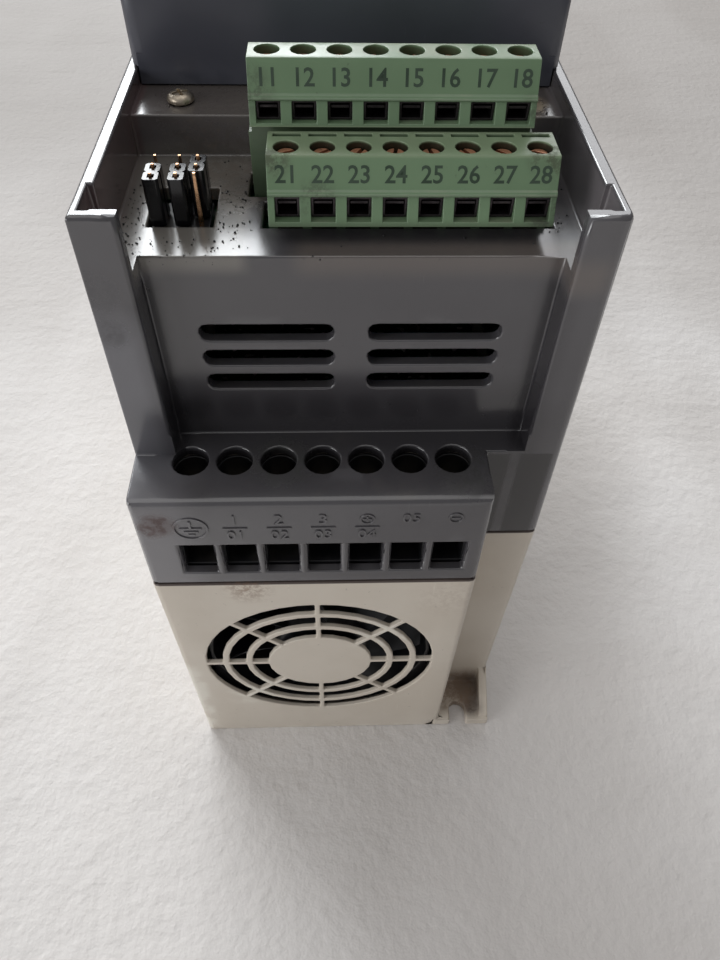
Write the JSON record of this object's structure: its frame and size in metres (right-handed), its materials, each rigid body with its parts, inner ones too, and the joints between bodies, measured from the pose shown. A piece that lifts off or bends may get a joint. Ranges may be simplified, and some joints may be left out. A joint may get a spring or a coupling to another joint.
{
  "type": "variable frequency drive",
  "caption": "Variable frequency drive on its back with its terminal cover off: fan grille, power terminals, control terminals, jumpers and a keypad with a speed knob.",
  "frame": {"origin": "middle of the flat mounting back, which the drive lies on", "axes": "+Z out of the front of the drive, -Y the end with the fan and the motor terminals, +Y the end with the supply terminals, +X to the right when the front is seen with the fan end down"},
  "size_m": [0.0758, 0.1726, 0.165],
  "materials": {
    "base_plastic": "fine textured moulded light warm grey plastic",
    "housing_plastic": "satin dark grey moulded plastic",
    "cover_plastic": "satin navy black moulded plastic",
    "keypad_plastic": "fine textured dark keypad plastic",
    "display_window": "polished smoked display window",
    "black_plastic": "black moulded plastic",
    "knob_plastic": "black knob with a satin grip",
    "key_rubber": "soft grey key",
    "run_key": "soft green key",
    "stop_key": "soft red key",
    "circuit_board": "green solder mask on glass fibre board",
    "relay_case": "blue relay case",
    "terminal_green": "dusty mid green terminal block plastic",
    "control_screws": "dull copper brown plated screws",
    "header_pins": "gold plated square pins on a black base",
    "steel_screws": "zinc plated steel, slightly dull",
    "heat_sink_aluminium": "extruded aluminium",
    "capacitor_sleeve": "shrink sleeve"
  },
  "bodies": {
    "casing": {"rear_base": "base_plastic", "front_housing": "housing_plastic", "upper_cover": "cover_plastic", "keypad_bezel": "keypad_plastic", "display_window": "display_window", "led_display": "black_plastic", "fan_frame": "black_plastic", "power_module": "black_plastic", "motor_terminal_block": "black_plastic", "supply_terminal_block": "black_plastic", "keypad_board": "circuit_board", "control_board": "circuit_board", "power_board": "circuit_board", "signal_relay": "relay_case", "control_terminal_front": "terminal_green", "control_terminal_rear": "terminal_green", "control_screw_front_1": "control_screws", "control_screw_front_2": "control_screws", "control_screw_front_3": "control_screws", "control_screw_front_4": "control_screws", "control_screw_front_5": "control_screws", "control_screw_front_6": "control_screws", "control_screw_front_7": "control_screws", "control_screw_front_8": "control_screws", "control_screw_rear_1": "control_screws", "control_screw_rear_2": "control_screws", "control_screw_rear_3": "control_screws", "control_screw_rear_4": "control_screws", "control_screw_rear_5": "control_screws", "control_screw_rear_6": "control_screws", "control_screw_rear_7": "control_screws", "control_screw_rear_8": "control_screws", "jumper_header": "header_pins", "cover_screw_left": "steel_screws", "cover_screw_right": "steel_screws", "motor_screw_1": "steel_screws", "motor_screw_2": "steel_screws", "motor_screw_3": "steel_screws", "motor_screw_4": "steel_screws", "motor_screw_5": "steel_screws", "motor_screw_6": "steel_screws", "motor_screw_7": "steel_screws", "supply_screw_1": "steel_screws", "supply_screw_2": "steel_screws", "supply_screw_3": "steel_screws", "supply_screw_4": "steel_screws", "heat_sink": "heat_sink_aluminium", "bus_capacitor_1": "capacitor_sleeve", "bus_capacitor_2": "capacitor_sleeve"},
    "fan": {"fan_rotor": "black_plastic"},
    "knob": {"speed_knob": "knob_plastic"},
    "key_program": {"key_program": "key_rubber"},
    "key_up": {"key_up": "key_rubber"},
    "key_enter": {"key_enter": "key_rubber"},
    "key_down": {"key_down": "key_rubber"},
    "key_run": {"key_run": "run_key"},
    "key_stop": {"key_stop": "stop_key"},
    "shunt_1": {"jumper_shunt_1": "black_plastic"},
    "shunt_2": {"jumper_shunt_2": "black_plastic"},
    "shunt_3": {"jumper_shunt_3": "black_plastic"}
  },
  "joints": [
    {"name": "fan_spin", "type": "hinge", "parent": "casing", "child": "fan", "pos_m": [-0.0067, -0.0762, 0.0386], "axis": [0, 1, 0], "continuous": true},
    {"name": "knob_turn", "type": "hinge", "parent": "casing", "child": "knob", "pos_m": [0.014, 0.021, 0.158], "axis": [0, 0, 1], "range_deg": [-150, 150]},
    {"name": "key_program_press", "type": "slide", "parent": "casing", "child": "key_program", "axis": [0, 0, -1], "range_m": [0, 0.0008], "stiffness_N_per_m": 1500, "springref_m": -0.0004},
    {"name": "key_up_press", "type": "slide", "parent": "casing", "child": "key_up", "axis": [0, 0, -1], "range_m": [0, 0.0008], "stiffness_N_per_m": 1500, "springref_m": -0.0004},
    {"name": "key_enter_press", "type": "slide", "parent": "casing", "child": "key_enter", "axis": [0, 0, -1], "range_m": [0, 0.0008], "stiffness_N_per_m": 1500, "springref_m": -0.0004},
    {"name": "key_down_press", "type": "slide", "parent": "casing", "child": "key_down", "axis": [0, 0, -1], "range_m": [0, 0.0008], "stiffness_N_per_m": 1500, "springref_m": -0.0004},
    {"name": "key_run_press", "type": "slide", "parent": "casing", "child": "key_run", "axis": [0, 0, -1], "range_m": [0, 0.0008], "stiffness_N_per_m": 1500, "springref_m": -0.0004},
    {"name": "key_stop_press", "type": "slide", "parent": "casing", "child": "key_stop", "axis": [0, 0, -1], "range_m": [0, 0.0008], "stiffness_N_per_m": 1500, "springref_m": -0.0004},
    {"name": "shunt_1_pull", "type": "slide", "parent": "casing", "child": "shunt_1", "axis": [0, 0, 1], "range_m": [0, 0.008]},
    {"name": "shunt_2_pull", "type": "slide", "parent": "casing", "child": "shunt_2", "axis": [0, 0, 1], "range_m": [0, 0.008]},
    {"name": "shunt_3_pull", "type": "slide", "parent": "casing", "child": "shunt_3", "axis": [0, 0, 1], "range_m": [0, 0.008]}
  ]
}
